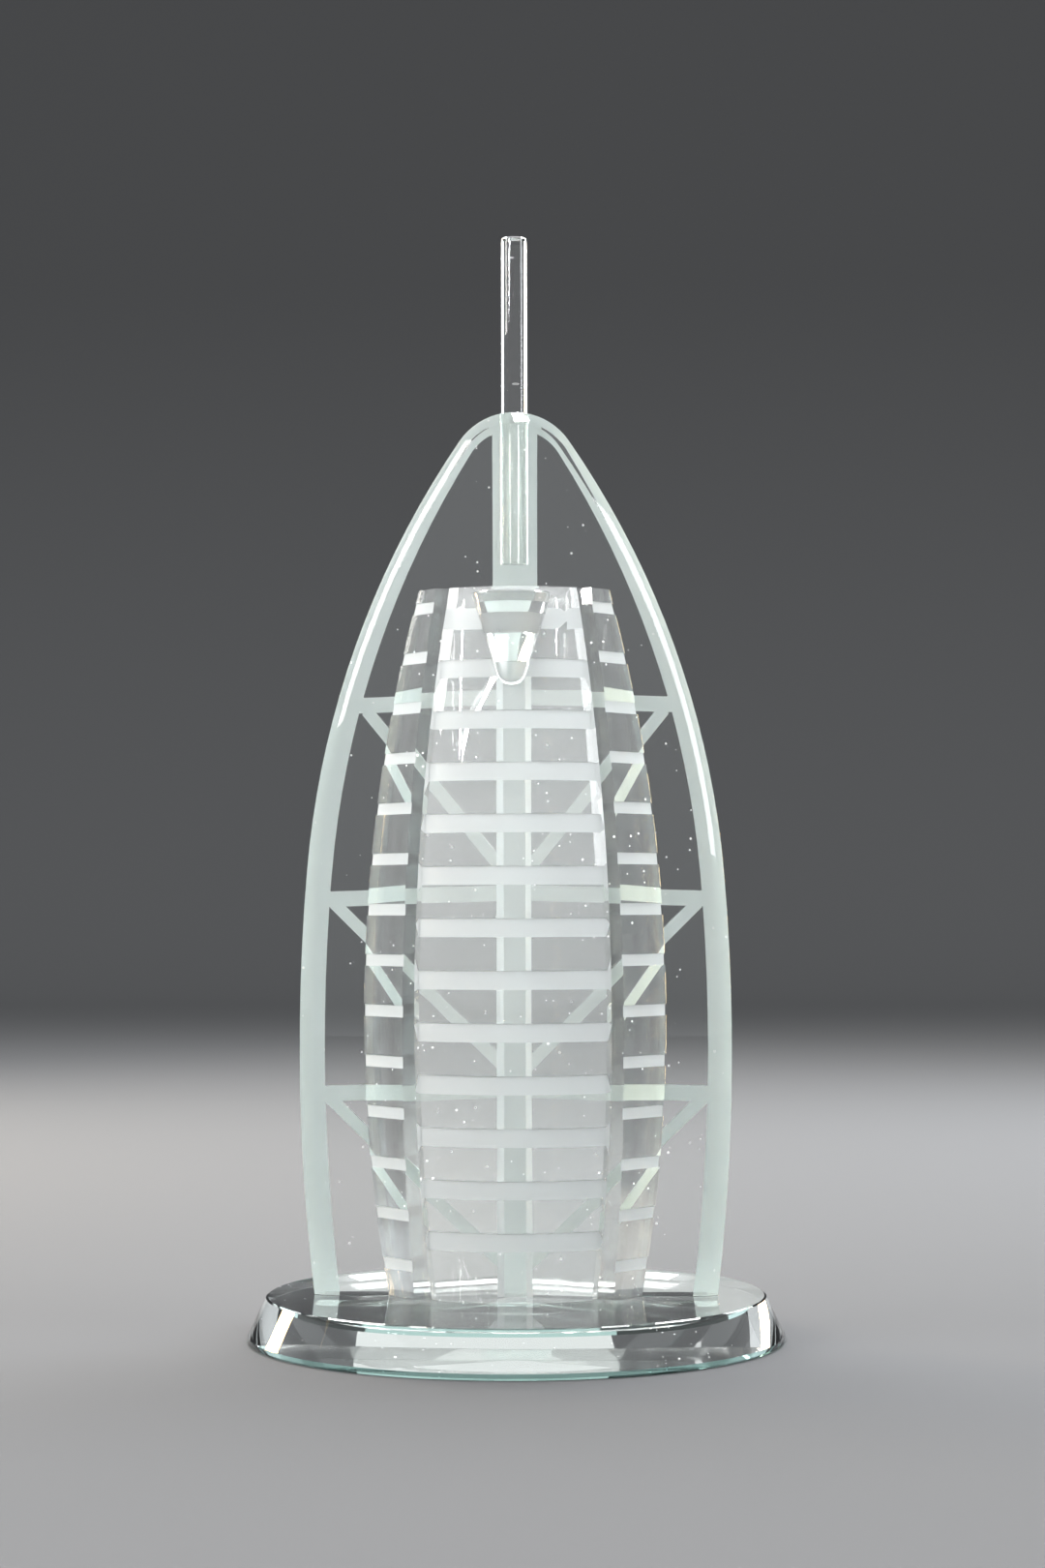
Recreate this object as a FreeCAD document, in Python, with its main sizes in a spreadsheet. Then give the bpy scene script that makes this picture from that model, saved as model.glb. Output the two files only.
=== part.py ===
import FreeCAD, Part
import math
import os

import Sketcher
from FreeCAD import Vector

# Tower-shaped crystal award: a bevelled round base, an arch plate with sand-carved art on its back,
# two wing blocks bonded to the plate's front, a curved sail sheet across them, a cone-shaped pod
# and a round mast rod.  Millimetres; +X to the right, +Y to the back, +Z up, origin at the middle
# of the base's underside, front of the award towards -Y.

doc = FreeCAD.newDocument("crystal_award")

SIZES = [
    # base
    ("base_diameter", 120.0), ("base_thickness", 10.0), ("base_top_diameter", 112.0),
    ("base_land", 0.9), ("base_arris", 0.5),
    # adhesive film at every joint
    ("film", 0.1),
    # arch plate: height and widths of its outline above the base, and its section
    ("plate_height", 198.3), ("plate_half_width", 48.5), ("plate_foot_half_width", 45.1),
    ("plate_widest_height", 56.0), ("plate_shoulder_rise", 38.7), ("plate_tip_radius", 15.0),
    ("plate_thickness", 10.0), ("plate_bevel", 2.6), ("plate_bevel_depth", 2.0),
    # mast rod and its bore
    ("mast_diameter", 6.0), ("mast_length", 74.6), ("mast_bore_depth", 34.5), ("mast_chamfer", 0.3),
    # sand-carved art
    ("carve_depth", 0.2), ("frame_inset", 0.5), ("frame_width", 3.0), ("frame_flare", 2.0),
    ("spine_width", 10.0),
    ("bar_height", 3.5), ("bar_first_height", 45.8), ("bar_pitch", 43.85), ("bar_count", 3),
    ("bar_droop", 1.3), ("brace_width", 2.7), ("brace_drop", 38.0),
    # wing blocks: outline, slanted sides and the notch between their fronts
    ("wing_height", 157.6), ("wing_half_width", 33.8), ("wing_foot_half_width", 28.2),
    ("wing_top_half_width", 21.4), ("wing_widest_height", 62.0), ("wing_side_slope", 1.22),
    ("wing_front_depth", 11.5), ("wing_notch_slope", 0.36), ("wing_slot", 7.5), ("wing_slot_back", 4.7),
    ("front_bow_drop", 4.0), ("front_bow_height", 73.0),
    ("tick_count", 14), ("tick_height", 2.6), ("tick_first_height", 7.5), ("tick_pitch", 11.22),
    # sail sheet
    ("sail_half_width", 21.7), ("sail_foot_half_width", 18.2), ("sail_top_half_width", 14.2),
    ("sail_thickness", 3.0), ("sail_edge", 1.2), ("sail_land", 1.6),
    ("sail_rise", 7.0), ("sail_rise_foot", 5.5), ("sail_rise_top", 4.2),
    ("stripe_count", 12), ("stripe_height", 4.1), ("stripe_first_height", 13.4), ("stripe_pitch", 11.44),
    ("stripe_margin", 0.8),
    # pod
    ("pod_diameter", 17.6), ("pod_height", 20.2), ("pod_tip_radius", 3.4), ("pod_rim", 0.4),
    ("pod_drop", 2.2), ("pod_reach", 5.0),
]

sheet = doc.addObject("Spreadsheet::Sheet", "sizes")
for row, (alias, value) in enumerate(SIZES, start=1):
    sheet.set("A%d" % row, alias)
    sheet.set("B%d" % row, repr(value))
    sheet.setAlias("B%d" % row, alias)
doc.recompute()


def size(alias):
    """The value of one cell of the sheet."""
    return float(getattr(sheet, alias))


# ---------------------------------------------------------------------------- shared geometry

BASE_TOP = size("base_thickness")
FOOT = BASE_TOP + size("film")                      # underside of everything that stands on the base
PLATE_FRONT = -size("plate_thickness") / 2.0
PLATE_BACK = size("plate_thickness") / 2.0
WING_BACK = PLATE_FRONT - size("film")              # back faces of the wing blocks
WING_TOP = FOOT + size("wing_height")
PLATE_TOP = FOOT + size("plate_height")
PAST = 1.0                                          # how far a cutting tool runs past what it cuts
CUT_DEPTH = 40.0                                    # from the wing blocks' backs to in front of the award
STATIONS = 9                                        # plan sections in each loft
FLAT = 0.01                                         # how level a face is to count as lying in a plane


def bulge_radius(run, drop):
    """Radius of an arc that falls away by drop over run, starting along the run."""
    return (run * run + drop * drop) / (2.0 * drop)


def point(x, z):
    """A place in the XZ plane."""
    return Vector(x, 0, z)


def shape_feature(name, shape):
    """One solid whose shape is set with Part's own functions."""
    feature = doc.addObject("Part::Feature", name)
    feature.Shape = shape
    return feature


def cut(name, base, tool):
    """One feature less another."""
    result = doc.addObject("Part::Cut", name)
    result.Base, result.Tool = base, tool
    return result


def prism(wire, front, back):
    """A closed wire in the XZ plane, filled and extended from y = front to y = back."""
    face = Part.Face(wire)
    face.translate(Vector(0, front, 0))
    return face.extrude(Vector(0, back - front, 0))


def polygon(points):
    """A closed wire of straight edges in the XZ plane."""
    return Part.makePolygon([point(x, z) for x, z in points] + [point(*points[0])])


# ---------------------------------------------------------------------------- base disc


def sketch_on(body, role, name):
    """An empty sketch on one of the body's own origin planes."""
    sketch = body.newObject("Sketcher::SketchObject", name)
    plane = [feature for feature in body.Origin.OriginFeatures if feature.Role == role][0]
    sketch.AttachmentSupport = [(plane, "")]
    sketch.MapMode = "FlatFace"
    return sketch


def closed_profile(sketch, points):
    """Straight edges through the points, joined end to end; returns the edge numbers."""
    numbers = []
    for start, end in zip(points, points[1:] + points[:1]):
        numbers.append(sketch.addGeometry(Part.LineSegment(Vector(*start, 0), Vector(*end, 0)), False))
    for this, following in zip(numbers, numbers[1:] + numbers[:1]):
        sketch.addConstraint(Sketcher.Constraint("Coincident", this, 2, following, 1))
    return numbers


def place_vertex(sketch, edge, across, up):
    """Ties the start of an edge to the sheet: expressions for its distance across and up."""
    for kind, formula in (("DistanceX", across), ("DistanceY", up)):
        number = sketch.addConstraint(Sketcher.Constraint(kind, -1, 1, edge, 1, 1.0))
        sketch.setExpression("Constraints[%d]" % number, formula)


def turned_body(name, corners, profile):
    """A solid of revolution about Z: profile points as pairs of sheet formulas."""
    body = doc.addObject("PartDesign::Body", name)
    sketch = sketch_on(body, "XZ_Plane", name + "_profile")
    edges = closed_profile(sketch, corners)
    for edge, (across, up) in zip(edges, profile):
        place_vertex(sketch, edge, across, up)
    turn = body.newObject("PartDesign::Revolution", name + "_turn")
    turn.Profile = sketch
    turn.ReferenceAxis = (sketch, ["V_Axis"])
    turn.Angle = 360.0
    body.Tip = turn
    return body


def make_base():
    """The round foot: a flat disc with a narrow upright land and a slanted polished rim."""
    half = size("base_diameter") / 2
    top = size("base_top_diameter") / 2
    thick = size("base_thickness")
    arris = size("base_arris")
    # where each corner starts out, before its expressions hold it
    corners = [
        (0, 0), (half - arris, 0), (half, arris), (half, arris + size("base_land")),
        (top, thick - arris / 2), (top - arris, thick), (0, thick),
    ]
    profile = [
        ("0", "0"),
        ("sizes.base_diameter / 2 - sizes.base_arris", "0"),
        ("sizes.base_diameter / 2", "sizes.base_arris"),
        ("sizes.base_diameter / 2", "sizes.base_arris + sizes.base_land"),
        ("sizes.base_top_diameter / 2", "sizes.base_thickness - sizes.base_arris / 2"),
        ("sizes.base_top_diameter / 2 - sizes.base_arris", "sizes.base_thickness"),
        ("0", "sizes.base_thickness"),
    ]
    return turned_body("base_disc", corners, profile)


def make_mast():
    """The round rod that stands in the plate's bore, with a small chamfer at each end."""
    radius = size("mast_diameter") / 2
    rod = doc.addObject("Part::Cylinder", "mast_stock")
    rod.setExpression("Radius", "sizes.mast_diameter / 2")
    rod.setExpression("Height", "sizes.mast_length")
    low = PLATE_TOP - size("mast_bore_depth") + size("film")
    rod.Placement = FreeCAD.Placement(Vector(0, 0, low), FreeCAD.Rotation())
    doc.recompute()
    ends = doc.addObject("Part::Chamfer", "mast_rod")
    ends.Base = rod
    rims = [number + 1 for number, edge in enumerate(rod.Shape.Edges)
            if edge.Closed and abs(edge.Length - 2 * math.pi * radius) < FLAT]
    ends.Edges = [(number, size("mast_chamfer"), size("mast_chamfer")) for number in rims]
    return ends


# ---------------------------------------------------------------------------- arch plate


def arch_arcs(inset, flare=0.0):
    """Right half of the arch as three tangent arcs, moved inwards by inset.

    With a flare its sides, but not its tip, are moved in by that much more.  Returns each arc's
    start, middle and end, from the foot up to the apex on the centre line.
    """
    wide = size("plate_half_width") - flare
    widest = FOOT + size("plate_widest_height")
    low_radius = bulge_radius(size("plate_widest_height"), wide + flare - size("plate_foot_half_width"))
    low_centre = Vector(wide - low_radius, 0, widest)
    lean = math.asin(size("plate_shoulder_rise") / low_radius)
    inward = Vector(-math.cos(lean), 0, -math.sin(lean))
    shoulder = low_centre - inward * low_radius
    tip_radius = size("plate_tip_radius")
    tip_centre = point(0, PLATE_TOP - tip_radius)
    span = shoulder - tip_centre
    high_radius = (tip_radius ** 2 - span.dot(span)) / (2.0 * (span.dot(inward) + tip_radius))
    high_centre = shoulder + inward * high_radius
    towards_tip = (tip_centre - high_centre).normalize()

    def on(centre, radius, direction):
        return centre + direction * (radius - inset)

    foot_drop = math.asin((widest - FOOT) / (low_radius - inset))
    foot_way = Vector(math.cos(foot_drop), 0, -math.sin(foot_drop))
    shoulder_way = inward * -1.0
    low_mid = (foot_way + shoulder_way).normalize()
    high_mid = (shoulder_way + towards_tip).normalize()
    tip_mid = (towards_tip + Vector(0, 0, 1)).normalize()
    foot = on(low_centre, low_radius, foot_way)
    join = on(low_centre, low_radius, shoulder_way)
    turn = on(high_centre, high_radius, towards_tip)
    apex = point(0, PLATE_TOP - inset)
    return [
        (foot, on(low_centre, low_radius, low_mid), join),
        (join, on(high_centre, high_radius, high_mid), turn),
        (turn, on(tip_centre, tip_radius, tip_mid), apex),
    ]


def mirrored(vector):
    """The same place on the other side of the centre line."""
    return Vector(-vector.x, vector.y, vector.z)


def arch_wire(inset, flare=0.0):
    """The closed outline of the arch: right arcs, left arcs and the straight foot."""
    right = arch_arcs(inset, flare)
    edges = [Part.Arc(*arc).toShape() for arc in right]
    edges += [Part.Arc(mirrored(c), mirrored(b), mirrored(a)).toShape() for a, b, c in reversed(right)]
    foot = right[0][0]
    edges.append(Part.makeLine(mirrored(foot), foot))
    return Part.Wire(Part.__sortEdges__(edges))


def bar_heights():
    """Heights of the level bars' middles on the centre line."""
    first = BASE_TOP + size("bar_first_height")
    return [first + number * size("bar_pitch") for number in range(int(size("bar_count")))]


def arch_half_width_at(height, inset, flare):
    """Half-width of the arch, moved inwards by inset and flare, at one height."""
    line = Part.makeLine(point(0, height), point(size("plate_half_width") * 2, height))
    hit = Part.Face(arch_wire(inset, flare)).common(line)
    return hit.BoundBox.XMax


def make_art():
    """The sand-carved strips on the plate's back: frame, spine, level bars and their braces."""
    depth_front = PLATE_BACK - size("carve_depth")
    depth_back = PLATE_BACK + size("carve_depth")
    inset = size("frame_inset")
    inner, flare = inset + size("frame_width"), size("frame_flare")
    field = prism(arch_wire(inset), depth_front, depth_back)
    frame = field.cut(prism(arch_wire(inner, flare), depth_front - PAST, depth_back + PAST))
    half_spine = size("spine_width") / 2
    strips = [prism(polygon([(-half_spine, FOOT), (half_spine, FOOT), (half_spine, PLATE_TOP),
                             (-half_spine, PLATE_TOP)]), depth_front, depth_back)]
    half_bar = size("bar_height") / 2
    for height in bar_heights():
        outer = arch_half_width_at(height, inner - size("frame_width") / 4, flare)
        joint = arch_half_width_at(height, inner, flare)
        for side in (-1, 1):
            end = height - size("bar_droop")
            strips.append(prism(polygon([
                (0, height - half_bar), (side * outer, end - half_bar),
                (side * outer, end + half_bar), (0, height + half_bar)]), depth_front, depth_back))
            run = joint - half_spine
            rise = size("brace_width") / 2 * math.hypot(run, size("brace_drop")) / run
            low = height - size("brace_drop")
            strips.append(prism(polygon([
                (side * half_spine, low - rise), (side * joint, end - rise),
                (side * joint, end + rise), (side * half_spine, low + rise)]), depth_front, depth_back))
    art = frame.multiFuse([strip.common(field) for strip in strips])
    return shape_feature("art_relief", art)


def make_plate(art):
    """The arch plate: a flat slab with a bevel round its front, the mast's bore and the art."""
    slab = shape_feature("plate_slab", prism(arch_wire(0.0), PLATE_FRONT, PLATE_BACK))
    bevel = size("plate_bevel")
    depth = size("plate_bevel_depth")
    front = arch_wire(bevel)
    rear = arch_wire(0.0)
    front.translate(Vector(0, PLATE_FRONT, 0))
    rear.translate(Vector(0, PLATE_FRONT + depth, 0))
    nose = Part.makeLoft([rear, front], True, True)
    band = prism(arch_wire(0.0), PLATE_FRONT - PAST, PLATE_FRONT + depth)
    trim = shape_feature("plate_bevel_trim", band.cut(nose))
    bore = doc.addObject("Part::Cylinder", "mast_bore")
    bore.setExpression("Radius", "sizes.mast_diameter / 2 + sizes.film")
    bore.setExpression("Height", "2 * sizes.mast_bore_depth")
    low = PLATE_TOP - size("mast_bore_depth")
    bore.Placement = FreeCAD.Placement(Vector(0, 0, low), FreeCAD.Rotation())
    bevelled = cut("plate_bevelled", slab, trim)
    bored = cut("plate_bored", bevelled, bore)
    return cut("arch_plate", bored, art)


# ---------------------------------------------------------------------------- wing blocks


def half_width_at(height, part):
    """Half-width of the wings' or the sail's outline: one arc down to the foot and one up to the top."""
    widest = FOOT + size("wing_widest_height")
    wide = size(part + "_half_width")
    if height < widest:
        run, narrow = widest - FOOT, size(part + "_foot_half_width")
    else:
        run, narrow = WING_TOP - widest, size(part + "_top_half_width")
    radius = bulge_radius(run, wide - narrow)
    return wide - radius + math.sqrt(radius ** 2 - (height - widest) ** 2)


def bow(height):
    """How far the bowed front falls back at one height: nothing at its crown, the full drop at the top."""
    radius = bulge_radius(size("wing_height") - size("front_bow_height"), size("front_bow_drop"))
    return radius - math.sqrt(radius ** 2 - (height - FOOT - size("front_bow_height")) ** 2)


def notch_depth(x, height):
    """Depth of the wing blocks' front in front of their back faces, at one place."""
    arris = size("wing_half_width") - size("wing_front_depth") / size("wing_side_slope")
    return size("wing_front_depth") - size("wing_notch_slope") * (arris - x) - bow(height)


def wing_section(height, carve):
    """Right wing block's outline in plan, its slanted side moved in by carve."""
    back = half_width_at(height, "wing")
    slope = size("wing_side_slope")
    shift = carve * math.hypot(1.0, slope) / slope
    inner = size("wing_slot") / 2
    inner_back = size("wing_slot_back") / 2
    # the side face falls by `slope` for each step inwards; the front rises by the notch slope
    level = notch_depth(0.0, height)
    arris = (slope * (back - shift) - level) / (slope + size("wing_notch_slope"))
    points = [
        Vector(inner_back, WING_BACK, height),
        Vector(back - shift, WING_BACK, height),
        Vector(arris, WING_BACK - notch_depth(arris, height), height),
        Vector(inner, WING_BACK - notch_depth(inner, height), height),
    ]
    return Part.makePolygon(points + points[:1])


def loft_of(section):
    """A smooth solid through one plan section at each station from foot to top."""
    rise = size("wing_height") / (STATIONS - 1)
    return Part.makeLoft([section(FOOT + rise * number) for number in range(STATIONS)], True, False)


def wing_loft(carve):
    return loft_of(lambda height: wing_section(height, carve))


def tick_heights():
    """Heights of the carved ticks' middles."""
    first = BASE_TOP + size("tick_first_height")
    return [first + number * size("tick_pitch") for number in range(int(size("tick_count")))]


def make_wing(name, side):
    """One wing block: slanted side with its carved ticks, sloping front, flat back on the plate."""
    block = wing_loft(0.0)
    core = wing_loft(size("carve_depth"))
    half = size("tick_height") / 2
    slabs = []
    for height in tick_heights():
        corner = Vector(size("wing_slot"), WING_BACK - CUT_DEPTH, height - half)
        slabs.append(Part.makeBox(size("wing_half_width"), CUT_DEPTH + PAST, 2 * half, corner))
    skin = Part.makeCompound(slabs).cut(core)
    if side < 0:
        block = block.mirror(Vector(0, 0, 0), Vector(1, 0, 0))
        skin = skin.mirror(Vector(0, 0, 0), Vector(1, 0, 0))
    blank = shape_feature(name + "_blank", block)
    ticks = shape_feature(name + "_ticks", skin)
    return cut(name, blank, ticks)


# ---------------------------------------------------------------------------- sail sheet


def sail_rise_at(height):
    """How far the sail's middle stands in front of its edges: a smooth curve through three values."""
    share = (height - FOOT) / size("wing_height")
    middle = size("wing_widest_height") / size("wing_height")
    foot, wide, top = size("sail_rise_foot"), size("sail_rise"), size("sail_rise_top")
    if share < middle:
        return wide - (wide - foot) * (1 - share / middle) ** 2
    return wide - (wide - top) * ((share - middle) / (1 - middle)) ** 2


def sail_front(height, proud):
    """Ends and middle of the sail's front arc at one height, moved forward by proud."""
    half = half_width_at(height, "sail")
    edge = WING_BACK - notch_depth(half, height) - size("film") - size("sail_edge")
    crown = edge - sail_rise_at(height) - proud
    return (Vector(half, edge - proud, height), Vector(0, crown, height), Vector(-half, edge - proud, height))


def sail_section(height):
    """The sheet's outline in plan: front arc, short edges, ground lands and back arc."""
    right, crown, left = sail_front(height, 0.0)
    half = right.x
    land = half - size("sail_land")
    film = size("film")
    land_y = WING_BACK - notch_depth(land, height) - film
    foot_y = WING_BACK - notch_depth(half, height) - film
    back = Vector(0, crown.y + size("sail_thickness"), height)
    edges = [
        Part.Arc(right, crown, left).toShape(),
        Part.makeLine(left, Vector(-half, foot_y, height)),
        Part.makeLine(Vector(-half, foot_y, height), Vector(-land, land_y, height)),
        Part.Arc(Vector(-land, land_y, height), back, Vector(land, land_y, height)).toShape(),
        Part.makeLine(Vector(land, land_y, height), Vector(half, foot_y, height)),
        Part.makeLine(Vector(half, foot_y, height), right),
    ]
    return Part.Wire(edges)


def sail_core_section(height, proud):
    """A block behind the sail's front, to cut against: its front arc moved forward by proud."""
    right, crown, left = sail_front(height, proud)
    rear_right = Vector(right.x, WING_BACK, height)
    rear_left = Vector(left.x, WING_BACK, height)
    edges = [
        Part.Arc(right, crown, left).toShape(),
        Part.makeLine(left, rear_left),
        Part.makeLine(rear_left, rear_right),
        Part.makeLine(rear_right, right),
    ]
    return Part.Wire(edges)


def sail_core(proud):
    """The block behind the sail's front, from foot to top."""
    return loft_of(lambda height: sail_core_section(height, proud))


def stripe_heights():
    """Heights of the carved stripes' middles."""
    first = BASE_TOP + size("stripe_first_height")
    return [first + number * size("stripe_pitch") for number in range(int(size("stripe_count")))]


def make_sail():
    """The curved sheet, bowed in height as well, with carved level stripes across its front."""
    core = sail_core(-size("carve_depth"))
    half = size("stripe_height") / 2
    slabs = []
    for height in stripe_heights():
        reach = half_width_at(height, "sail") - size("stripe_margin")
        corner = Vector(-reach, WING_BACK - CUT_DEPTH, height - half)
        slabs.append(Part.makeBox(2 * reach, CUT_DEPTH, 2 * half, corner))
    skin = Part.makeCompound(slabs).cut(core)
    blank = shape_feature("sail_blank", loft_of(sail_section))
    stripes = shape_feature("sail_stripes", skin)
    return cut("sail_sheet", blank, stripes)


# ---------------------------------------------------------------------------- pod


def pod_axis():
    """Where the pod's axis stands, in front of the sail's middle."""
    top = WING_TOP - size("pod_drop")
    crown = sail_front(top, 0.0)[1]
    return crown.y - size("pod_reach"), top


def make_pod_blank():
    """An upside-down cone with a flat round top, a narrow rim and a rounded tip."""
    across, top = pod_axis()
    radius, tall = size("pod_diameter") / 2, size("pod_height")
    rim, tip = size("pod_rim"), size("pod_tip_radius")
    # the side runs from the rim to a circle of the tip's radius
    rise = tall - rim - tip
    span = math.hypot(radius, rise)
    lean = math.atan2(radius, rise) - math.asin(tip / span)
    touch = Vector(tip * math.cos(lean), 0, -rim - rise - tip * math.sin(lean))
    low = Vector(0, 0, -tall)
    mid_way = (Vector(math.cos(lean), 0, -math.sin(lean)) + Vector(0, 0, -1)).normalize()
    middle = Vector(0, 0, -rim - rise) + mid_way * tip
    edges = [
        Part.makeLine(Vector(0, 0, 0), Vector(radius - rim, 0, 0)),
        Part.makeLine(Vector(radius - rim, 0, 0), Vector(radius, 0, -rim)),
        Part.makeLine(Vector(radius, 0, -rim), touch),
        Part.Arc(touch, middle, low).toShape(),
        Part.makeLine(low, Vector(0, 0, 0)),
    ]
    cone = Part.Face(Part.Wire(edges)).revolve(Vector(0, 0, 0), Vector(0, 0, 1), 360)
    cone.translate(Vector(0, across, top))
    return cone


def make_pod(blank):
    """The pod, its back ground hollow to sit on the sail."""
    stock = shape_feature("pod_stock", blank)
    seat = shape_feature("pod_seat", sail_core(size("film")))
    return cut("pod", stock, seat)


# ---------------------------------------------------------------------------- adhesive films


def flat_faces(shape, axis, level):
    """Faces of a shape that lie flat in one plane across an axis."""
    found = []
    for face in shape.Faces:
        box = face.BoundBox
        low, high = (box.YMin, box.YMax) if axis == "y" else (box.ZMin, box.ZMax)
        if abs(low - level) < FLAT and abs(high - level) < FLAT:
            found.append(face)
    return found


def films(name, faces, way):
    """Cured adhesive: each face thickened along one way, kept as separate solids."""
    solids = [face.extrude(way) for face in faces]
    return shape_feature(name, Part.makeCompound(solids))


def make_foot_bond(standing):
    """The film under everything that stands on the base."""
    faces = [face for part in standing for face in flat_faces(part.Shape, "z", FOOT)]
    return films("foot_bond", faces, Vector(0, 0, -size("film")))


def make_wing_bond(wings):
    """The film between each wing block and the plate."""
    faces = [face for part in wings for face in flat_faces(part.Shape, "y", WING_BACK)]
    return films("wing_bond", faces, Vector(0, size("film"), 0))


def sail_bond_section(height):
    """The film under the sail's right-hand land, in plan."""
    half = half_width_at(height, "sail")
    land = half - size("sail_land")
    film = Vector(0, -size("film"), 0)
    outer = Vector(half, WING_BACK - notch_depth(half, height), height)
    inner = Vector(land, WING_BACK - notch_depth(land, height), height)
    return Part.makePolygon([outer, inner, inner + film, outer + film, outer])


def make_sail_bond():
    """The films under both of the sail's lands."""
    right = loft_of(sail_bond_section)
    left = right.mirror(Vector(0, 0, 0), Vector(1, 0, 0))
    return shape_feature("sail_bond", Part.makeCompound([right, left]))


def make_mast_bond(mast):
    """The sleeve of adhesive round the rod in its bore, and the drop under its end."""
    radius = size("mast_diameter") / 2 + size("film")
    low = PLATE_TOP - size("mast_bore_depth")
    brim = PLATE_TOP - size("plate_tip_radius") + math.sqrt(size("plate_tip_radius") ** 2 - radius ** 2)
    fill = shape_feature("mast_fill", Part.makeCylinder(radius, brim - low, Vector(0, 0, low)))
    return cut("mast_bond", fill, mast)


def make_pod_bond(blank):
    """The film between the pod's ground back and the sail."""
    gap = sail_core(size("film")).cut(sail_core(0.0))
    return shape_feature("pod_bond", blank.common(gap))


# ---------------------------------------------------------------------------- assembly

base = make_base()
mast = make_mast()
plate = make_plate(make_art())
left_wing = make_wing("left_wing", -1)
right_wing = make_wing("right_wing", 1)
sail = make_sail()
pod_blank = make_pod_blank()
pod = make_pod(pod_blank)
doc.recompute()

nodes = [base, mast, plate, left_wing, right_wing, sail, pod]
nodes.append(make_foot_bond([plate, left_wing, right_wing, sail]))
nodes.append(make_wing_bond([left_wing, right_wing]))
nodes.append(make_sail_bond())
nodes.append(make_mast_bond(mast))
nodes.append(make_pod_bond(pod_blank))
doc.recompute()

for feature in doc.Objects:
    if "Invalid" in feature.State or "Error" in feature.State:
        raise RuntimeError("feature failed: " + feature.Name)

os.makedirs("parts", exist_ok=True)
for node in nodes:
    node.Label = node.Name
    if node.Shape.isNull() or not node.Shape.isValid():
        raise RuntimeError("bad shape: " + node.Label)
    node.Shape.exportStep("parts/%s.step" % node.Label)
    print("%-12s solids %d volume %.1f" % (node.Label, len(node.Shape.Solids), node.Shape.Volume))
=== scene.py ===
import math

import bpy
from mathutils import Matrix, Vector


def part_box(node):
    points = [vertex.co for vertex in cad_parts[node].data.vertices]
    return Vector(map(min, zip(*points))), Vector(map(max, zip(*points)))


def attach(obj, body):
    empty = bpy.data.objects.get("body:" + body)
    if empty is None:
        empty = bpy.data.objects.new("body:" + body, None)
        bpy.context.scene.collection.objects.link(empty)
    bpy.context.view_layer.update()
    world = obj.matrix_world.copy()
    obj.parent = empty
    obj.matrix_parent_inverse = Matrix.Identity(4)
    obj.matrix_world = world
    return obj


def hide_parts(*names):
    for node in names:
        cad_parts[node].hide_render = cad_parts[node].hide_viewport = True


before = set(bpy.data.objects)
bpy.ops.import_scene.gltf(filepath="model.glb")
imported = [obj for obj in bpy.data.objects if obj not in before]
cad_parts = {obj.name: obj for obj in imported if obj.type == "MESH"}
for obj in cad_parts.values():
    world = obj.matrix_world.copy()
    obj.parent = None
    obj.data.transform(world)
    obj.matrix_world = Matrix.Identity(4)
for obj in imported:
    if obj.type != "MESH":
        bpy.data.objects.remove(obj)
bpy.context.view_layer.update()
MM = 0.001


# --- camera -------------------------------------------------------------------------------------
# A short telephoto set a little to the right of the award's middle, level with its lower third,
# turned back to the award and tipped up slightly.
CAMERA_DISTANCE = 660 * MM
CAMERA_HEIGHT = 97 * MM
CAMERA_SIDE_ANGLE = math.radians(2.0)
CAMERA_SIDE_STEP = 1.6 * MM
bpy.ops.object.camera_add(
    location=(CAMERA_DISTANCE * math.sin(CAMERA_SIDE_ANGLE) + CAMERA_SIDE_STEP,
              -CAMERA_DISTANCE * math.cos(CAMERA_SIDE_ANGLE), CAMERA_HEIGHT),
    rotation=(math.radians(92.37), math.radians(0.13), CAMERA_SIDE_ANGLE))
camera = bpy.context.object
camera.name = "camera"
camera.data.sensor_fit = "VERTICAL"
camera.data.sensor_height = 36.0
camera.data.lens = 67.1
camera.data.clip_start = 0.01
bpy.context.scene.camera = camera


# --- arch plate ---------------------------------------------------------------------------------
# The tall flat plate: 10 mm optical crystal, sawn to the arch and polished, with a bevel round its
# front.  Frame strip, spine, level bars and braces are sand-carved 0.2 mm deep into its back.
CRYSTAL_IOR = 1.52
CARVED = 0.2 * MM
ARRIS = 0.22 * MM


def new_group(name, inputs, outputs):
    """An empty node group with float inputs and with outputs of the given kinds."""
    group = bpy.data.node_groups.new(name, "ShaderNodeTree")
    for label, value in inputs:
        socket = group.interface.new_socket(label, in_out="INPUT", socket_type="NodeSocketFloat")
        socket.default_value = value
    for label, kind in outputs:
        group.interface.new_socket(label, in_out="OUTPUT", socket_type="NodeSocket" + kind)
    return group, group.nodes.new("NodeGroupInput"), group.nodes.new("NodeGroupOutput")


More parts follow.
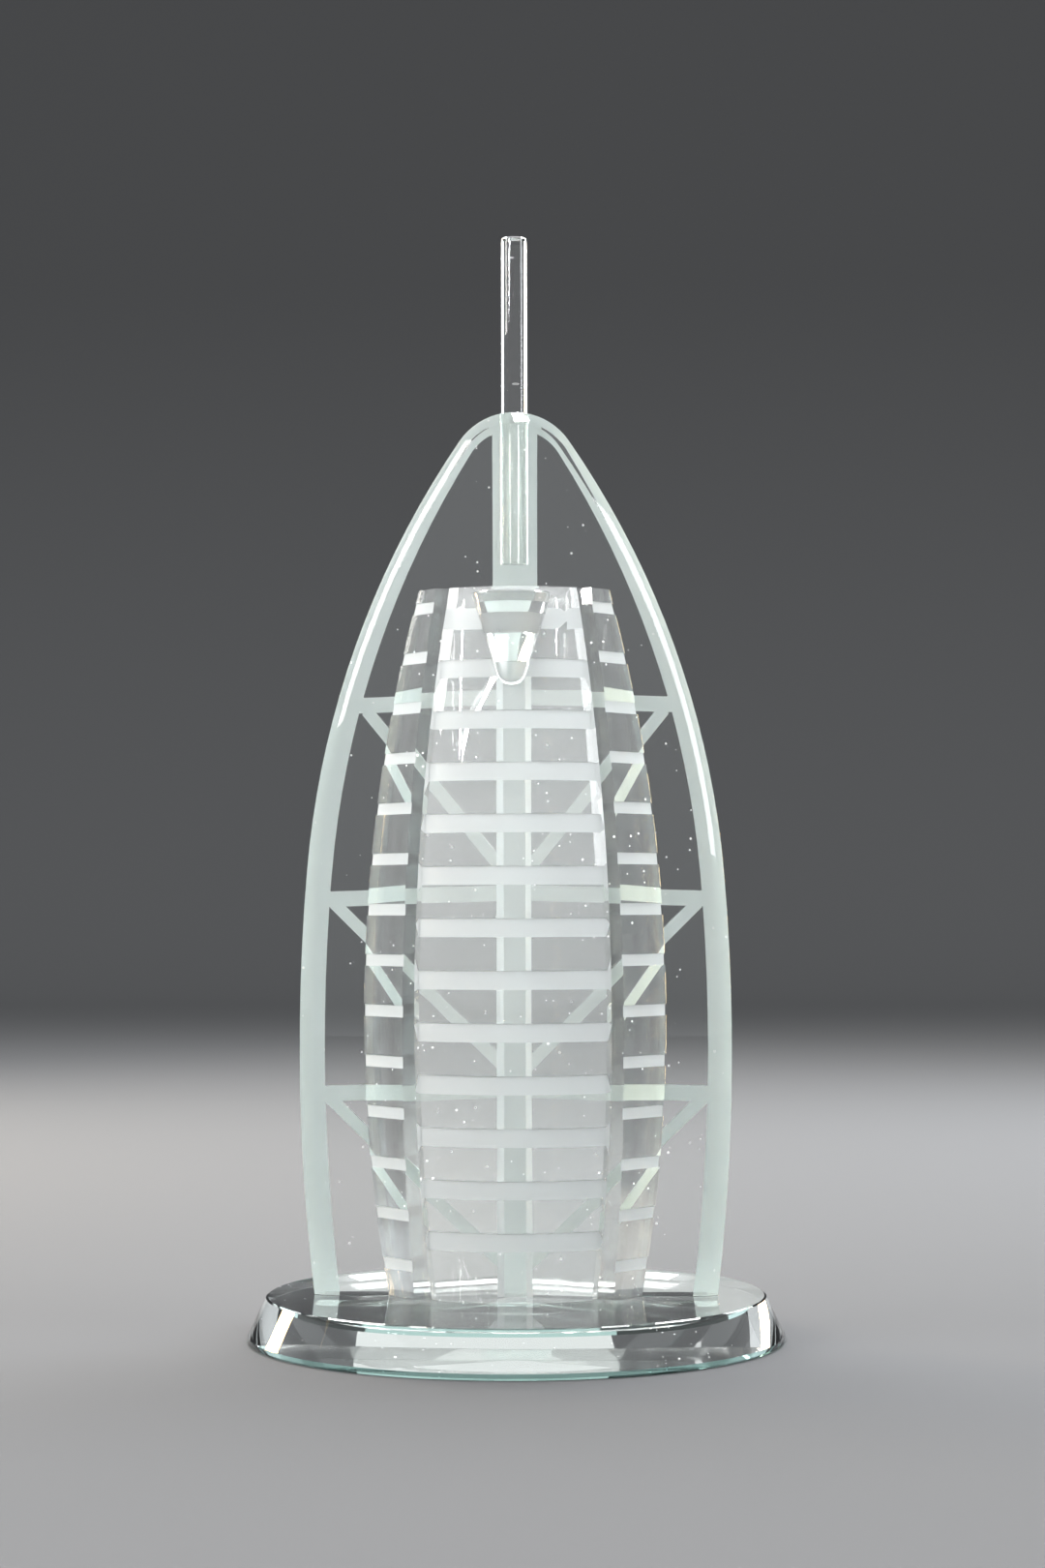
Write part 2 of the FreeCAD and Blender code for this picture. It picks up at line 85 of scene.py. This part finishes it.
def handling_and_glow_group():
    """Dust specks and wipe marks on polished crystal: roughness, and a painted glow that lights up the
    specks.
    """
    group, start, end = new_group(
        "dust_wipe_marks_and_painted_glow",
        [("Speck Scale", 380.0), ("Speck Size", 0.10), ("Painted Glow Strength", 0.5), ("Wipe Haze", 0.05)],
        [("Roughness", "Float"), ("Painted Glow Color", "Color")])
    nodes, links = group.nodes, group.links
    place = nodes.new("ShaderNodeTexCoord")
    cells = nodes.new("ShaderNodeTexVoronoi")
    links.new(place.outputs["Object"], cells.inputs["Vector"])
    links.new(start.outputs["Speck Scale"], cells.inputs["Scale"])
    # each speck's size varies with the cell's own random colour
    random_part = nodes.new("ShaderNodeSeparateColor")
    links.new(cells.outputs["Color"], random_part.inputs["Color"])
    spread = nodes.new("ShaderNodeMapRange")
    spread.inputs["From Min"].default_value = 0.45
    spread.inputs["From Max"].default_value = 1.0
    links.new(random_part.outputs["Red"], spread.inputs["Value"])
    reach = nodes.new("ShaderNodeMath")
    reach.operation = "MULTIPLY"
    links.new(spread.outputs["Result"], reach.inputs[0])
    links.new(start.outputs["Speck Size"], reach.inputs[1])
    speck = nodes.new("ShaderNodeMath")
    speck.operation = "LESS_THAN"
    links.new(cells.outputs["Distance"], speck.inputs[0])
    links.new(reach.outputs["Value"], speck.inputs[1])
    # long soft marks left by a wiping cloth
    stretch = nodes.new("ShaderNodeMapping")
    stretch.inputs["Rotation"].default_value = (0.0, math.radians(24), 0.0)
    stretch.inputs["Scale"].default_value = (260.0, 60.0, 26.0)
    links.new(place.outputs["Object"], stretch.inputs["Vector"])
    streaks = nodes.new("ShaderNodeTexNoise")
    streaks.inputs["Scale"].default_value = 1.0
    streaks.inputs["Detail"].default_value = 5.0
    links.new(stretch.outputs["Vector"], streaks.inputs["Vector"])
    wipe = nodes.new("ShaderNodeMapRange")
    wipe.inputs["From Min"].default_value = 0.52
    wipe.inputs["From Max"].default_value = 0.75
    links.new(streaks.outputs["Fac"], wipe.inputs["Value"])
    links.new(start.outputs["Wipe Haze"], wipe.inputs["To Max"])
    rough = nodes.new("ShaderNodeMath")
    rough.operation = "MULTIPLY_ADD"
    rough.inputs[1].default_value = 0.4
    links.new(speck.outputs["Value"], rough.inputs[0])
    links.new(wipe.outputs["Result"], rough.inputs[2])
    links.new(rough.outputs["Value"], end.inputs["Roughness"])
    # painted highlight: each speck glows with emitted light at the given strength
    light = nodes.new("ShaderNodeMath")
    light.operation = "MULTIPLY"
    links.new(speck.outputs["Value"], light.inputs[0])
    links.new(start.outputs["Painted Glow Strength"], light.inputs[1])
    links.new(light.outputs["Value"], end.inputs["Painted Glow Color"])
    return group


def grain_group():
    """The fine grain of sand-carved crystal: colour, roughness and height."""
    group, start, end = new_group(
        "sand_carved_grain",
        [("Grain Scale", 4200.0), ("Cloud Scale", 70.0), ("Whiteness", 0.97), ("Unevenness", 0.05)],
        [("Color", "Color"), ("Roughness", "Float"), ("Height", "Float")])
    nodes, links = group.nodes, group.links
    place = nodes.new("ShaderNodeTexCoord")
    grain = nodes.new("ShaderNodeTexNoise")
    grain.inputs["Detail"].default_value = 3.0
    cloud = nodes.new("ShaderNodeTexNoise")
    for noise, label in ((grain, "Grain Scale"), (cloud, "Cloud Scale")):
        links.new(place.outputs["Object"], noise.inputs["Vector"])
        links.new(start.outputs[label], noise.inputs["Scale"])
    darker = nodes.new("ShaderNodeMath")
    darker.operation = "MULTIPLY"
    links.new(cloud.outputs["Fac"], darker.inputs[0])
    links.new(start.outputs["Unevenness"], darker.inputs[1])
    pale = nodes.new("ShaderNodeMath")
    pale.operation = "SUBTRACT"
    links.new(start.outputs["Whiteness"], pale.inputs[0])
    links.new(darker.outputs["Value"], pale.inputs[1])
    cool = nodes.new("ShaderNodeMath")
    cool.operation = "MULTIPLY"
    cool.inputs[1].default_value = 0.965
    links.new(pale.outputs["Value"], cool.inputs[0])
    tint = nodes.new("ShaderNodeCombineColor")
    links.new(cool.outputs["Value"], tint.inputs["Red"])
    links.new(pale.outputs["Value"], tint.inputs["Green"])
    links.new(pale.outputs["Value"], tint.inputs["Blue"])
    links.new(tint.outputs["Color"], end.inputs["Color"])
    rough = nodes.new("ShaderNodeMapRange")
    rough.inputs["To Min"].default_value = 0.75
    rough.inputs["To Max"].default_value = 0.95
    links.new(grain.outputs["Fac"], rough.inputs["Value"])
    links.new(rough.outputs["Result"], end.inputs["Roughness"])
    links.new(grain.outputs["Fac"], end.inputs["Height"])
    return group


handling_and_glow = handling_and_glow_group()
carved_grain = grain_group()


def crystal_material(name, tint, painted_glow_strength, wipe_haze, clearness=1.0):
    """Polished crystal: clear, faintly green in its depth, with dust specks and wipe marks, the specks lit
    by a painted glow.
    """
    material = bpy.data.materials.new(name)
    material.use_nodes = True
    nodes, links = material.node_tree.nodes, material.node_tree.links
    shader = nodes["Principled BSDF"]
    shader.inputs["Base Color"].default_value = (*tint, 1.0)
    shader.inputs["Transmission Weight"].default_value = clearness
    shader.inputs["IOR"].default_value = CRYSTAL_IOR
    # emission carries only the specks' painted glow; the crystal is no lamp
    shader.inputs["Emission Strength"].default_value = 1.0
    marks = nodes.new("ShaderNodeGroup")
    marks.node_tree = handling_and_glow
    marks.inputs["Painted Glow Strength"].default_value = painted_glow_strength
    marks.inputs["Wipe Haze"].default_value = wipe_haze
    links.new(marks.outputs["Roughness"], shader.inputs["Roughness"])
    links.new(marks.outputs["Painted Glow Color"], shader.inputs["Emission Color"])
    body = nodes.new("ShaderNodeVolumeAbsorption")
    body.inputs["Color"].default_value = (0.80, 0.97, 0.93, 1.0)
    body.inputs["Density"].default_value = 1.0
    links.new(body.outputs["Volume"], nodes["Material Output"].inputs["Volume"])
    return material


def frost_material(name, through, whiteness):
    """Sand-carved crystal: matt and pale, and partly see-through."""
    material = bpy.data.materials.new(name)
    material.use_nodes = True
    nodes, links = material.node_tree.nodes, material.node_tree.links
    shader = nodes["Principled BSDF"]
    shader.inputs["Transmission Weight"].default_value = through
    shader.inputs["IOR"].default_value = CRYSTAL_IOR
    grain = nodes.new("ShaderNodeGroup")
    grain.node_tree = carved_grain
    grain.inputs["Whiteness"].default_value = whiteness
    bump = nodes.new("ShaderNodeBump")
    bump.inputs["Strength"].default_value = 0.25
    bump.inputs["Distance"].default_value = 0.05 * MM
    links.new(grain.outputs["Color"], shader.inputs["Base Color"])
    links.new(grain.outputs["Roughness"], shader.inputs["Roughness"])
    links.new(grain.outputs["Height"], bump.inputs["Height"])
    links.new(bump.outputs["Normal"], shader.inputs["Normal"])
    return material


def activate(piece):
    """Makes one piece the only one selected."""
    bpy.ops.object.select_all(action="DESELECT")
    piece.select_set(True)
    bpy.context.view_layer.objects.active = piece


def copy_of(node, name):
    """A merged copy of a CAD node, active."""
    piece = bpy.data.objects.new(name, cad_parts[node].data.copy())
    bpy.context.scene.collection.objects.link(piece)
    piece.data.materials.clear()
    activate(piece)
    bpy.ops.object.mode_set(mode="EDIT")
    bpy.ops.mesh.select_all(action="SELECT")
    bpy.ops.mesh.remove_doubles(threshold=0.002 * MM)
    bpy.ops.mesh.customdata_custom_splitnormals_clear()
    bpy.ops.object.mode_set(mode="OBJECT")
    return piece


def bevel_edges(piece, keep, width):
    """Eases the sharp edges that keep(middle, faces) chooses, faces being the two beside each."""
    activate(piece)
    bpy.ops.object.mode_set(mode="EDIT")
    bpy.ops.mesh.select_mode(type="EDGE")
    bpy.ops.mesh.select_all(action="DESELECT")
    bpy.ops.mesh.edges_select_sharp(sharpness=math.radians(28))
    bpy.ops.object.mode_set(mode="OBJECT")
    mesh = piece.data
    beside = {}
    for face in mesh.polygons:
        for key in face.edge_keys:
            beside.setdefault(key, []).append(face)
    for edge in mesh.edges:
        if edge.select:
            ends = [mesh.vertices[index].co for index in edge.vertices]
            edge.select = keep((ends[0] + ends[1]) / 2, beside[edge.key])
    bpy.ops.object.mode_set(mode="EDIT")
    bpy.ops.mesh.bevel(offset=width, segments=2, affect="EDGES", clamp_overlap=True)
    bpy.ops.object.mode_set(mode="OBJECT")


def finish_piece(piece, node):
    """Smooth shading with crisp arrises, and the piece's place in the award."""
    activate(piece)
    bpy.ops.object.shade_smooth_by_angle(angle=math.radians(20))
    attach(piece, "root")
    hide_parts(node)


clear = crystal_material("clear_crystal", (0.99, 1.0, 0.995), 0.8, 0.04)
frost = frost_material("frosted_crystal", 0.6, 0.93)
stripe_frost = frost_material("frosted_stripe", 0.45, 0.66)
sawn_frost = frost_material("sawn_slot_wall", 0.2, 0.98)

plate = copy_of("arch_plate", "arch_plate_crystal")
plate_low, plate_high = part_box("arch_plate")
BORE_REACH, FOOT_REACH = 4 * MM, 0.1 * MM
carving_deepest, carving_shallowest = plate_high.y - 1.2 * CARVED, plate_high.y - 0.3 * CARVED
plate.data.materials.append(clear)
plate.data.materials.append(frost)
for face in plate.data.polygons:
    in_relief = carving_deepest < face.center.y < carving_shallowest
    if in_relief and abs(face.normal.y) > 0.5:
        face.material_index = 1


def plate_arris(middle, faces):
    """The plate's own outline, not the walls of the carving, the foot or the bore."""
    carving = any(face.center.y > plate_high.y - CARVED and abs(face.normal.y) < 0.5 for face in faces)
    bore = math.hypot(middle.x, middle.y) < BORE_REACH
    return not carving and not bore and middle.z > plate_low.z + FOOT_REACH


bevel_edges(plate, plate_arris, ARRIS)
finish_piece(plate, "arch_plate")


# --- base disc ----------------------------------------------------------------------------------
# A 10 mm disc of clear crystal, cut round and polished, with a slanted rim all the way round that
# leaves a narrow upright land at its foot.
LAND_REACH, RIM_REACH = 1.5 * MM, 58 * MM
base = copy_of("base_disc", "base_disc_crystal")
base_clear = crystal_material("base_crystal", (0.985, 1.0, 0.995), 0.35, 0.03)
rim_clear = crystal_material("base_rim_crystal", (0.45, 0.80, 0.76), 0.2, 0.03)
base.data.materials.append(base_clear)
base.data.materials.append(rim_clear)
for face in base.data.polygons:
    on_land = face.center.z < LAND_REACH and face.normal.z > -0.9
    if on_land and math.hypot(face.center.x, face.center.y) > RIM_REACH:
        face.material_index = 1
finish_piece(base, "base_disc")


# --- mast rod -----------------------------------------------------------------------------------
# A 6 mm drawn crystal rod that stands in a blind bore in the plate's tip, its ends chamfered.
mast = copy_of("mast_rod", "mast_rod_crystal")
rod_clear = crystal_material("rod_crystal", (1.0, 1.0, 1.0), 0.2, 0.02)
mast.data.materials.append(rod_clear)
finish_piece(mast, "mast_rod")


# --- wing blocks --------------------------------------------------------------------------------
# Two blocks bonded to the plate's front.  Their slanted sides carry short carved ticks, and the
# sawn walls of the slot between them are left matt.
TICK_FIRST, TICK_PITCH, TICK_HALF = 17.5 * MM, 11.22 * MM, 1.3 * MM
SLOT_REACH = 4 * MM
wing_clear = crystal_material("wing_crystal", (0.99, 1.0, 0.995), 1.6, 0.06, 0.94)
for side in ("left", "right"):
    wing = copy_of(side + "_wing", side + "_wing_crystal")
    wing.data.materials.append(wing_clear)
    wing.data.materials.append(stripe_frost)
    wing.data.materials.append(sawn_frost)
    for face in wing.data.polygons:
        outward = abs(face.normal.x) > 0.6 and face.normal.y < -0.4
        on_tick = (face.center.z - TICK_FIRST + TICK_HALF) % TICK_PITCH < 2 * TICK_HALF
        slot_wall = abs(face.center.x) < SLOT_REACH and abs(face.normal.x) > 0.6
        if outward and on_tick:
            face.material_index = 1
        if slot_wall:
            face.material_index = 2
    finish_piece(wing, side + "_wing")


# --- sail sheet ---------------------------------------------------------------------------------
# A curved 3 mm sheet, bowed in height as well and bonded along its two edges, with twelve level
# stripes carved across its front.
STRIPE_FIRST, STRIPE_PITCH, STRIPE_HALF = 23.4 * MM, 11.44 * MM, 2.05 * MM
sail = copy_of("sail_sheet", "sail_sheet_crystal")
sail_clear = crystal_material("sail_crystal", (0.99, 1.0, 0.995), 0.4, 0.12, 0.85)
sail.data.materials.append(sail_clear)
sail.data.materials.append(stripe_frost)
for face in sail.data.polygons:
    on_stripe = (face.center.z - STRIPE_FIRST + STRIPE_HALF) % STRIPE_PITCH < 2 * STRIPE_HALF
    above_foot = face.center.z > STRIPE_FIRST - STRIPE_PITCH / 2
    if face.normal.y < -0.5 and on_stripe and above_foot:
        face.material_index = 1
finish_piece(sail, "sail_sheet")


# --- pod ----------------------------------------------------------------------------------------
# An upside-down cone with a flat round top, its back ground hollow to sit on the sail.
POD_IOR = 1.6
pod = copy_of("pod", "pod_crystal")
pod_clear = crystal_material("pod_crystal", (1.0, 1.0, 1.0), 0.1, 0.03, 0.94)
pod_clear.node_tree.nodes["Principled BSDF"].inputs["IOR"].default_value = POD_IOR
pod.data.materials.append(pod_clear)
finish_piece(pod, "pod")


# --- adhesive films -----------------------------------------------------------------------------
# Cured clear adhesive at each joint: it wets both pieces, so each film laps them by a hair.
LAP = 0.02 * MM
ADHESIVE_IOR = 1.5
glue = crystal_material("clear_adhesive", (0.99, 0.995, 0.985), 0.0, 0.0)
glue.node_tree.nodes["Principled BSDF"].inputs["IOR"].default_value = ADHESIVE_IOR
for joint in ("foot_bond", "wing_bond", "sail_bond", "mast_bond", "pod_bond"):
    film = copy_of(joint, joint + "_film")
    film.data.materials.append(glue)
    bpy.ops.object.mode_set(mode="EDIT")
    bpy.ops.mesh.select_all(action="SELECT")
    bpy.ops.transform.shrink_fatten(value=LAP)
    bpy.ops.object.mode_set(mode="OBJECT")
    finish_piece(film, joint)


# --- floor, backdrop and light ------------------------------------------------------------------
# A plain sheet, painted dark grey and lit to a light grey, runs back and curls up into the
# backdrop.  Soft boxes stand round the award, with three narrow ones in front, whose reflections
# make the V on the sail.  Light linking keeps some lights off the base or to one piece.
SWEEP_WIDTH, SWEEP_NEAR, SWEEP_FAR, SWEEP_CURVE, SWEEP_TOP = 7.0, -1.5, 2.2, 0.9, 3.0
AIR_GAP = 0.1 * MM
bpy.ops.object.select_all(action="DESELECT")
bpy.ops.mesh.primitive_plane_add(size=1.0)
floor = bpy.context.object
floor.name = "floor"
bpy.ops.object.mode_set(mode="EDIT")
bpy.ops.mesh.select_all(action="SELECT")
bpy.ops.transform.resize(value=(SWEEP_WIDTH, 0.01, 1.0), center_override=(0, 0, 0))
bpy.ops.transform.translate(value=(0, SWEEP_NEAR, -AIR_GAP))
bpy.ops.mesh.select_mode(type="EDGE")
bpy.ops.mesh.select_all(action="DESELECT")
bpy.ops.object.mode_set(mode="OBJECT")
for edge in floor.data.edges:
    edge.select = all(floor.data.vertices[index].co.y > SWEEP_NEAR for index in edge.vertices)
bpy.ops.object.mode_set(mode="EDIT")
bpy.ops.mesh.extrude_region_move(TRANSFORM_OT_translate={"value": (0, SWEEP_FAR - SWEEP_NEAR, 0)})
bpy.ops.mesh.spin(steps=24, angle=math.radians(-90), center=(0, SWEEP_FAR, SWEEP_CURVE), axis=(1, 0, 0))
bpy.ops.mesh.extrude_region_move(TRANSFORM_OT_translate={"value": (0, 0, SWEEP_TOP)})
bpy.ops.mesh.select_all(action="SELECT")
bpy.ops.mesh.normals_make_consistent(inside=False)
bpy.ops.object.mode_set(mode="OBJECT")
bpy.ops.object.shade_smooth()
floor_paint = bpy.data.materials.new("plain_floor")
floor_paint.use_nodes = True
paint = floor_paint.node_tree.nodes["Principled BSDF"]
paint.inputs["Base Color"].default_value = (0.085, 0.085, 0.087, 1.0)
paint.inputs["Roughness"].default_value = 0.7
paint.inputs["Specular IOR Level"].default_value = 0.0
floor.data.materials.append(floor_paint)

world = bpy.data.worlds.new("studio")
world.use_nodes = True
sky, sky_links = world.node_tree.nodes, world.node_tree.links
way = sky.new("ShaderNodeTexCoord")
height = sky.new("ShaderNodeSeparateXYZ")
fade = sky.new("ShaderNodeMapRange")
fade.inputs["From Min"].default_value = -0.1
fade.inputs["From Max"].default_value = 0.9
fade.inputs["To Min"].default_value = 0.45
fade.inputs["To Max"].default_value = 1.7
sky_links.new(way.outputs["Generated"], height.inputs["Vector"])
sky_links.new(height.outputs["Z"], fade.inputs["Value"])
sky_links.new(fade.outputs["Result"], sky["Background"].inputs["Strength"])
sky["Background"].inputs["Color"].default_value = (0.95, 0.98, 1.0, 1.0)
bpy.context.scene.world = world


def soft_light(name, place, target, width, height, power, colour):
    """A rectangular soft box that faces the target."""
    bpy.ops.object.light_add(type="AREA", location=place)
    lamp = bpy.context.object
    lamp.name = name
    lamp.data.shape = "RECTANGLE"
    lamp.data.size, lamp.data.size_y = width, height
    lamp.data.energy = power
    lamp.data.color = colour
    lamp.rotation_euler = (Vector(target) - Vector(place)).to_track_quat("-Z", "Y").to_euler()
    return lamp


MIDDLE = (0.0, 0.0, 0.12)
CARD_AIM = (0.0, 0.0, 0.09)
beside_base = bpy.data.collections.new("all_but_the_base")
beside_base.objects.link(base)
beside_base.collection_objects[0].light_linking.link_state = "EXCLUDE"
key = soft_light("key_light", (-0.9, -0.3, 0.7), MIDDLE, 0.35, 0.6, 8.0, (1.0, 0.98, 0.96))
fill = soft_light("fill_light", (0.9, -0.35, 0.5), MIDDLE, 0.3, 0.6, 5.5, (0.95, 0.98, 1.0))
for lamp in (key, fill):
    lamp.light_linking.receiver_collection = beside_base
soft_light("amber_card", (-0.93, 0.16, 0.7), MIDDLE, 0.2, 0.5, 0.28, (1.0, 0.74, 0.36))
for name, side, colour in (("back_left", -1.0, (1.0, 0.88, 0.70)), ("back_right", 1.0, (0.84, 0.93, 1.0))):
    lamp = soft_light(name, (side * 0.75, 0.6, 0.35), MIDDLE, 0.3, 0.6, 14.0, colour)
    lamp.light_linking.receiver_collection = beside_base
soft_light("top_light", (0.05, -0.12, 1.1), MIDDLE, 0.22, 0.22, 8.0, (1.0, 1.0, 1.0))
soft_light("warm_light", (-0.55, 0.35, 0.12), MIDDLE, 0.12, 0.16, 1.6, (1.0, 0.72, 0.38))
card = soft_light("hidden_card", (-0.012, 0.3, 0.09), CARD_AIM, 0.045, 0.19, 0.015, (0.97, 1.0, 0.98))
card.data.shape = "ELLIPSE"
card.visible_camera = False
behind_plate = bpy.data.collections.new("seen_through_the_plate")
behind_plate.objects.link(plate)
card.light_linking.receiver_collection = behind_plate
fan = soft_light("base_card", (0.01, 0.3, 0.09), CARD_AIM, 0.16, 0.19, 0.055, (0.96, 1.0, 0.98))
fan.data.shape = "ELLIPSE"
fan.visible_camera = False
seen_in_base = bpy.data.collections.new("seen_in_the_base")
seen_in_base.objects.link(base)
fan.light_linking.receiver_collection = seen_in_base
soft_light("back_top", (0.0, 0.75, 1.0), MIDDLE, 1.2, 0.5, 40.0, (1.0, 1.0, 1.0))


def strip_light(name, start, end, width, power):
    """A narrow soft box in front, from one direction to another, in degrees round and up."""
    places = []
    for around, up in (start, end):
        around, up = math.radians(around), math.radians(up)
        out = Vector((math.sin(around) * math.cos(up), -math.cos(around) * math.cos(up), math.sin(up)))
        places.append(Vector(STRIP_CENTRE) + out * STRIP_DISTANCE)
    middle = (places[0] + places[1]) / 2
    along = places[1] - places[0]
    lamp = soft_light(name, middle, STRIP_CENTRE, along.length, width, power, (1.0, 1.0, 1.0))
    back = (middle - Vector(STRIP_CENTRE)).normalized()
    across = back.cross(along).normalized()
    turn = Matrix((along.normalized(), across, back)).transposed()
    lamp.rotation_euler = turn.to_euler()
    return lamp


STRIP_CENTRE, STRIP_DISTANCE = (-0.008, -0.017, 0.148), 1.2
strip_light("strip_left", (-54.0, 27.0), (-45.0, 15.5), 0.028, 3.8)
strip_light("strip_cross", (-43.0, 15.5), (-9.0, 24.0), 0.018, 4.4)
strip_light("strip_right", (45.0, 28.0), (40.0, 24.0), 0.020, 0.9)

bpy.context.scene.view_settings.view_transform = "Standard"
cycles = bpy.context.scene.cycles
cycles.max_bounces = 24
cycles.transmission_bounces = 24
cycles.glossy_bounces = 12
